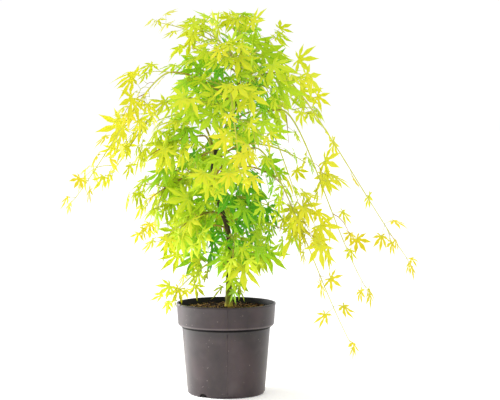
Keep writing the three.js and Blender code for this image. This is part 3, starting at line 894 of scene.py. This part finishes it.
def aim_leaf(root, side, spot, reach, lobes, draw, rise=GROWTH.rise):
    """A leaf that leaves a stem at root towards side: its stalk, then a blade that hangs and faces out."""
    away = outward(root, rise)
    stalk = unit(side * 0.9 + spot.along * 0.4 + away * 0.3 + draw.jitter(0.45))
    joint = root + stalk * reach * POISE.stalk
    midrib = unit(stalk * 0.5 - UP * 0.62 + away * 0.25 + draw.jitter(0.35))
    midrib = unit(midrib + stalk * max(0, POISE.bend - midrib @ stalk))
    face = away + UP * 0.4 + draw.jitter(0.75)
    face = unit(face - midrib * (face @ midrib))
    across = np.cross(midrib, face)
    leaf = Sizes(root=root, joint=joint, stalk=stalk, midrib=midrib, face=face, across=across, reach=reach)
    leaf.young = lobes is YOUNG
    leaf.spray = spot.spray
    turns = np.radians(lobes.angles)[:, None]
    ways = midrib * np.cos(turns) + across * np.sin(turns)
    shares = np.array(lobes.lengths)[:, None]
    leaf.tips = joint + reach * (shares * ways - POISE.droop * shares**2 * face)
    leaf.middles = joint + reach * (0.5 * shares * ways - 0.25 * POISE.droop * shares**2 * face)
    leaf.hub = joint + midrib * reach * POISE.hub
    ends = [np.stack([leaf.hub, tip]) for tip in leaf.tips]
    leaf.bones = np.array([*ends, [root * 0.6 + joint * 0.4, joint]])
    return leaf


def leaf_points(leaf):
    return np.concatenate([[leaf.joint], leaf.tips, leaf.middles])


def grow(own):
    """The cascade's main leaves and twigs, the same as those of the frame."""
    draw = Draws(own.seed + own.seed_step * own.index)
    length = own.stem.length
    leaves = []
    twigs = []
    grown = [segments_of(own.trace)]

    def apart(bones):
        return segment_distances(bones, np.concatenate(grown)).min() > own.apart

    def add_leaf(root, side, spot, lobes):
        for i in range(own.tries):
            reach = spot.reach * (0.95 + 0.15 * draw()) * (1 - 0.03 * i)
            leaf = aim_leaf(root, side, spot, reach, lobes, draw)
            fits = has_room(leaf_points(leaf), own, own.margin)
            if fits and apart(leaf.bones) and clear_of_limbs(leaf.bones, own.limb_margin):
                leaves.append(leaf)
                grown.append(leaf.bones)
                return

    def add_pair(spot, lobes):
        for way in (1, -1):
            staggered = spot.point - spot.along * way * own.stagger / 2
            if draw() > own.thin:
                add_leaf(staggered, side_of(spot, way), spot, lobes)

    def add_twig(spot, side, spray):
        long = TWIG.length * (0.75 + 0.5 * draw())
        heading = unit(side * 0.8 + spot.along * 0.5 + outward(spot.point) * 0.3)
        path = bent_twig(spot.point, heading, long, TWIG.sink)
        root, middle, end = path
        bones = np.array([[root * 0.6 + middle * 0.4, middle], [middle, end]])
        fits = has_room(np.array([middle, end]), own, own.margin) and apart(bones)
        if fits and clear_of_limbs(bones, TWIG.limb_margin):
            twigs.append(path)
            grown.append(bones)
            for share in TWIG.nodes:
                at = long * TWIG.end * share
                add_pair(spot_on(path, at, 0.5 * draw(), spot.reach * 0.95, spray), LEAF)

    nodes = []
    at = own.first
    while at < length - own.last:
        nodes.append(at)
        at += own.gap * (0.85 + 0.3 * draw())
    spots = []
    for i, at in enumerate(nodes):
        turn = (i % 2) * 0.5 * math.pi + 0.7 * (draw() - 0.5)
        reach = own.reach * (1 - POISE.shrink * (at / length) ** 1.5)
        spots.append(spot_on(own.trace, at, turn, reach, at / length))
    for at, spot in zip(nodes, spots):
        way = -1 if draw() < 0.5 else 1
        side = spot.across * way * math.sin(spot.turn) + spot.over * way * math.cos(spot.turn)
        if draw() < own.share:
            add_twig(spot, side, (at + TWIG.lead) / length)
    for spot in spots:
        add_pair(spot, LEAF)
    tip = spot_on(own.trace, length - own.end, 0, own.reach * (1 - POISE.shrink), 1)
    add_pair(tip, YOUNG)
    add_leaf(tip.point, tip.along, tip, YOUNG)
    return leaves, twigs


def in_heart(point):
    x, y, _ = point - trunk_at(point[2])
    x -= np.interp(point[2], HEART.off_from, HEART.off)
    dome = max(0, (point[2] - HEART.dome_from) / (HEART.top - HEART.dome_from))
    radius = np.interp(point[2], (HEART.low, HEART.widest_from), (HEART.low_radius, HEART.radius))
    radius *= math.sqrt(max(0, 1 - dome**2))
    return HEART.inner < math.hypot(x, y) < radius and point[2] > HEART.low


def carry_on(own, hubs):
    """Finer sprays that fill the tree's heart and the wings: short twigs with leaf pairs and an end leaf."""
    draw = Draws(SPRAY.seed + SPRAY.seed_step * own.index)
    length = own.stem.length
    wing_share, wing_from, wing_end = own.wing
    twigs = []
    added = []

    def add_leaf(root, side, spot, lobes):
        for _ in range(SPRAY.tries):
            leaf = aim_leaf(root, side, spot, spot.reach, lobes, draw, SPRAY.rise)
            if np.linalg.norm(np.array(hubs) - leaf.hub, axis=1).min() < SPRAY.apart:
                continue
            points = leaf_points(leaf)
            fits = inside_box(points) and has_room(points, own, -SPRAY.overlap, SPRAY.out)
            fits = fits and room.owned(leaf.hub[None], own.index, 0)
            if fits and clear_of_limbs(leaf.bones, SPRAY.limb_margin):
                added.append(leaf)
                hubs.append(leaf.hub)
                return

    count = round(length / SPRAY.gap) if own.start > HEART.low else 0
    for i in range(count):
        at = length * (i + draw()) / count
        foot = spot_on(own.trace, at, TURN * draw())
        long = draw.between(*SPRAY.length)
        way = side_of(foot, 1) * 0.8 + foot.along * 0.5 + outward(foot.point) * 0.3 + draw.jitter(0.3)
        path = bent_twig(foot.point, unit(way), long, SPRAY.sink)
        winged = wing_from * length <= at < wing_end * length
        wanted = draw() < (1 if in_heart(path[-1]) else wing_share * winged)
        if not (wanted and has_room(np.array(path[1:]), own, 0)):
            continue
        before = len(added)
        steps = max(1, round(long / SPRAY.pair_gap))
        for step in range(1, steps + 1):
            turn = (step % 2) * 0.5 * math.pi + draw.between(-0.4, 0.4)
            reach = draw.between(*SPRAY.reach)
            spot = spot_on(path, long * TWIG.end * step / steps, turn, reach, (at + long) / length)
            for way in (1, -1):
                add_leaf(spot.point, side_of(spot, way), spot, LEAF)
        spot.reach = SPRAY.reach[0]
        add_leaf(path[-1], spot.along, spot, YOUNG if draw() < SPRAY.young else LEAF)
        if len(added) > before:
            twigs.append(path)
    return added, twigs


box_low = np.array(cad_box[0]) / METRE + SPRAY.box_margin
box_high = np.array(cad_box[1]) / METRE - SPRAY.box_margin


def inside_box(points):
    return bool((points > box_low).all() and (points < box_high).all())


# Leaf blades


def with_basal(lobes):
    """The angles and lengths of a blade's lobes, with the small one at each side of the stalk."""
    angles = [lobes.angles[0] - BASAL.angle, *lobes.angles, lobes.angles[-1] + BASAL.angle]
    return angles, [BASAL.length, *lobes.lengths, BASAL.length]


def blade_pattern(lobes):
    """A blade's corners as (angle, length of lobe, share along it, share to the side), and its faces."""
    angles, lengths = with_basal(lobes)
    last = len(angles) - 1
    corners = [(0, 1, 0, 0)]
    for i in range(last):
        radius = SINUS.outer if i in (0, last - 1) else SINUS.inner
        corners.append(((angles[i] + angles[i + 1]) / 2, 1, radius, 0))
    faces = []
    for i, (angle, length) in enumerate(zip(angles, lengths)):
        first = len(corners)
        corners.extend((angle, length, share, 0) for share in LOBE_RIB)
        rib = [0, first, first + 1, first + 2]
        tip = len(corners)
        corners.append((angle, length, 1, 0))
        for way in (-1, 1):
            edge = len(corners)
            corners.extend((angle, length, share, way * side) for share, side in LOBE_EDGE)
            a, b, c, d, e, f = range(edge, edge + 6)
            sinus = i if way < 0 else i + 1
            half = []
            if 0 < sinus <= last:
                half.append((0, sinus, a))
            half += [(0, a, rib[1]), (rib[1], a, b), (rib[1], b, rib[2]), (rib[2], b, c), (rib[2], c, d)]
            half += [(rib[2], d, rib[3]), (rib[3], d, e), (rib[3], e, f), (rib[3], f, tip)]
            faces.extend(face if way < 0 else face[::-1] for face in half)
    return np.array(corners, float), np.array(faces)


def vein_pattern(lobes):
    """Along each lobe a slim strip that narrows to its end, as corners and faces like the blade's."""
    corners = []
    faces = []
    for angle, length in zip(*with_basal(lobes)):
        for share, width in zip(VEIN.shares, VEIN.widths):
            corners += [(angle, length, share, -width / length), (angle, length, share, width / length)]
            last = len(corners)
            faces += [(last - 2, last - 1, last), (last - 1, last + 1, last)]
        corners.append((angle, length, VEIN.end, 0))
        faces.pop()
    return np.array(corners, float), np.array(faces)


def blades(shape, veins, leaves, lobes, draw):
    """All the blades of one kind at once, each with its own droop, fold and spread, and their veins."""
    if not leaves:
        return
    count = len(leaves)

    def own(low, high):
        return np.array([draw.between(low, high) for _ in range(count)])[:, None]

    def vectors(key):
        return np.array([getattr(leaf, key) for leaf in leaves])[:, None]

    reach = np.array([leaf.reach * leaf.scale for leaf in leaves])[:, None]
    spread, size, width, phase, droop, fold, twist = [own(*ends) for ends in vars(BLADE).values()]
    for target, (pattern, faces), folded, lift in (
        (shape, blade_pattern(lobes), fold, 0),
        (veins, vein_pattern(lobes), 0, VEIN.lift),
    ):
        turn = np.radians(pattern[:, 0]) * spread
        length = pattern[:, 1] * size
        share = pattern[:, 2] * length
        side = pattern[:, 3] * length * width
        forward = share * np.cos(turn) - side * np.sin(turn)
        sideways = share * np.sin(turn) + side * np.cos(turn)
        ripple = RIPPLE.height * np.sin(RIPPLE.turns * share + phase) * share
        sink = droop * share**2 + folded * abs(side) + ripple + twist * share * sideways - lift
        along, across, down = [(part * reach)[..., None] for part in (forward, sideways, sink)]
        corners = vectors("joint") + vectors("midrib") * along + vectors("across") * across
        corners -= vectors("face") * down
        offsets = np.arange(count)[:, None, None] * len(pattern)
        target.add(corners.reshape(-1, 3), (faces[None] + offsets).reshape(-1, 3).tolist())


def tint_of(leaf, own, chance):
    """Yellow out at the ends, on young shoots, at the top and low down. Green in the heart."""
    x, y, z = leaf.joint
    sun = SUNNY.out * math.hypot(x - TRUNK.foot_x, y) - SUNNY.left * x
    sun += YOUNG_SHOOTS.get(own.name[:4], 0) + np.interp(z, SUNNY.heights, SUNNY.extra)
    return next(tint for tint, mark in zip(TINTS, TINT_MARKS) if sun + chance > mark)


# The plant


def make_bark():
    shape = Shape()
    z = np.arange(TRUNK.foot, TRUNK.top, BARK.ring)
    add_bark(shape, trunk_at(z), trunk_radius(z), BARK.trunk_sides, BARK.trunk_seed)
    make_piece("trunk_bark", shape, banded_bark("bark_trunk"), ["trunk"], smooth=True)
    shape = Shape()
    nodes = []
    for own in cascades:
        if own.bough:
            steps = round(own.bough.length / BARK.ring)
            radii = np.linspace(BOUGH.foot_radius, STEM.foot_radius, steps + 1) * BARK.slim
            seed = BARK.bough_seed + own.index
            add_bark(shape, own.bough.spaced(steps), radii, BARK.bough_sides, seed)
            nodes.append(f"bough_{own.name}")
    bark = patchy("bark_bough", "bough_brown", "bough_lime", 120, (1, 1, 0.6), 0.75)
    make_piece("bough_bark", shape, bark, nodes, smooth=True)


def add_bark(shape, points, radii, sides, seed):
    """A limb whose bark has long ridges, shallow furrows and a ring of swelling at each old node."""
    turn = np.arange(sides) * TURN / sides
    along = np.concatenate([[0], np.cumsum(np.linalg.norm(np.diff(points, axis=0), axis=1))])
    grid = around(turn, 9, along[:, None] * 0.3).reshape(-1, 3)
    ridges = waves(grid, 8, seed).reshape(len(points), sides)
    fine = waves(grid * [1, 1, 5], 5, seed + 100).reshape(len(points), sides)
    nodes = np.maximum(0, np.sin(along * TURN / BARK.node_gap + seed)) ** 24
    relief = 1 + BARK.relief * ridges + 0.4 * BARK.relief * fine + BARK.swell * nodes[:, None]
    relief[0] = relief[-1] = 1
    tube(shape, points, radii[:, None] * relief, sides)


def bend_through(root, middle, end, steps):
    """A smooth line that leaves root, passes near middle and ends at end."""
    control = middle + (middle - (root + end) / 2) * 0.6
    return bezier(root, control, end).spaced(steps)


def make_foliage():
    nodes = [f"foliage_{own.name}" for own in cascades]
    stems = {"stem_lime": Shape(), "stem_brown": Shape()}
    kinds = {tint: {True: [], False: []} for tint in TINTS}
    draw = Draws(LOOKS.seed)
    grown = [grow(own) for own in cascades]
    hubs = [leaf.hub for leaves, _ in grown for leaf in leaves]
    for own, (leaves, twigs) in zip(cascades, grown):
        more, finer = carry_on(own, hubs)
        for leaf in leaves:
            leaf.scale = own.life_size * draw.between(*LOOKS.sizes)
        for leaf in more:
            leaf.scale = 1
        add_stem(stems, own, draw)
        for paths, radius in ((twigs, TWIG.radius), (finer, TWIG.fine_radius)):
            for path in paths:
                wood = stems["stem_brown" if draw() < LOOKS.brown else "stem_lime"]
                tube(wood, bend_through(*path, 4), np.linspace(radius, TWIG.tip_radius, 5), 5)
        lean = {}
        for leaf in [*leaves, *more]:
            spray = round(leaf.spray, 3)
            if spray not in lean:
                lean[spray] = draw.between(-LOOKS.lean, LOOKS.lean)
            tint = tint_of(leaf, own, lean[spray] + draw.between(-LOOKS.stray, LOOKS.stray))
            kinds[tint][leaf.young].append(leaf)
            add_stalk(stems["stem_brown" if lean[spray] > LOOKS.brown_lean else "stem_lime"], leaf)
    add_bare_twigs(stems["stem_brown"])
    for name, shape in stems.items():
        wood = plain(name, COLOURS[name], 0.6)
        make_piece(f"{name}_twigs", shape, wood, nodes, smooth=True)
    veins = Shape()
    for tint, by_age in kinds.items():
        shape = Shape()
        blades(shape, veins, by_age[False], LEAF, draw)
        blades(shape, veins, by_age[True], YOUNG, draw)
        if shape.count:
            material = plain(f"leaf_{tint}", TINTS[tint], 0.6, 0.15)
            make_piece(f"leaves_{tint}", shape, material, nodes)
    make_piece("leaf_veins", veins, plain("leaf_vein", COLOURS["vein"], 0.6, 0.15), nodes)


def add_stem(stems, own, draw):
    """A cascade's main stem, which thins soon after its foot and swells a little at each pair of leaves."""
    steps = round(own.stem.length / STEM.ring)
    along = np.linspace(0, own.stem.length, steps + 1)
    slender = (STEM.foot_radius * BARK.slim, STEM.foot_radius * own.slim, STEM.tip_radius * own.slim)
    radii = np.interp(along, (0, STEM.thins_by, own.stem.length), slender)
    radii = radii * (1 + STEM.swell * np.maximum(0, np.sin(along * TURN / own.gap)) ** 8)
    wood = stems["stem_lime" if own.name[:4] in YOUNG_SHOOTS or draw() < STEM.lime else "stem_brown"]
    tube(wood, own.stem.spaced(steps), radii, STEM.sides)


def add_stalk(shape, leaf):
    sag = -UP * 0.06 * leaf.reach
    control = leaf.root * 0.45 + leaf.joint * 0.55 + sag * 0.4 + leaf.stalk * 0.05 * leaf.reach
    points = bezier(leaf.root, control, leaf.joint).spaced(3)
    tube(shape, points, POISE.stalk_radii, 3)


def add_bare_twigs(shape):
    for start, end, radius in BARE_TWIGS:
        root = trunk_at(start)
        end = np.array(end, float)
        middle = (root + end) / 2 + UP * 3
        tube(shape, bend_through(root, middle, end, 6), np.linspace(radius, TWIG.tip_radius, 7), 6)


# The studio


def aim(item, place, target):
    """Stands a camera or lamp at a place and turns it to a target."""
    item.location = place
    look = Vector(target) - Vector(place)
    item.rotation_euler = look.to_track_quat("-Z", "Y").to_euler()


def make_camera():
    camera = new_object("camera", bpy.data.cameras.new("camera"))
    aim(camera, CAMERA.eye, CAMERA.aim)
    camera.data.sensor_width = CAMERA.sensor
    camera.data.lens = CAMERA.sensor / 2 / math.tan(math.radians(CAMERA.field / 2))
    camera.data.clip_end = CAMERA.far
    bpy.context.scene.camera = camera


def make_floor():
    sides = ((-1, -1), (1, -1), (1, 1), (-1, 1))
    corners = [(x * FLOOR.half, y * FLOOR.half, FLOOR.level) for x, y in sides]
    mesh = new_mesh("floor", corners, [(0, 1, 2, 3)])
    white = plain("floor", FLOOR.colour, 0.9, 0.1)
    shader = principled(white)
    shader.inputs["Emission Color"].default_value = FLOOR.glow
    shader.inputs["Emission Strength"].default_value = FLOOR.glow_strength
    mesh.materials.append(white)
    new_object("floor", mesh)


def make_light():
    world = bpy.data.worlds.new("studio")
    bpy.context.scene.world = world
    world.use_nodes = True
    sky = world.node_tree.nodes["Background"]
    sky.inputs["Color"].default_value = (1, 1, 1, 1)
    sky.inputs["Strength"].default_value = SKY_STRENGTH
    bpy.context.scene.view_settings.view_transform = "Standard"

    for own in LAMPS:
        light = bpy.data.lights.new(own.name, "AREA")
        light.size = own.size
        light.energy = own.power
        aim(new_object(own.name, light), own.place, LAMP_AIM)
    glow = bpy.data.lights.new("floor_glow", "SPOT")
    glow.energy = FLOOR_GLOW.power
    glow.spot_size = math.radians(FLOOR_GLOW.cone)
    glow.spot_blend = FLOOR_GLOW.blend
    glow.shadow_soft_size = FLOOR_GLOW.size
    aim(new_object("floor_glow", glow), FLOOR_GLOW.place, FLOOR_GLOW.aim)


make_camera()
make_floor()
make_light()
make_pot()
make_mix()
make_bark()
make_foliage()
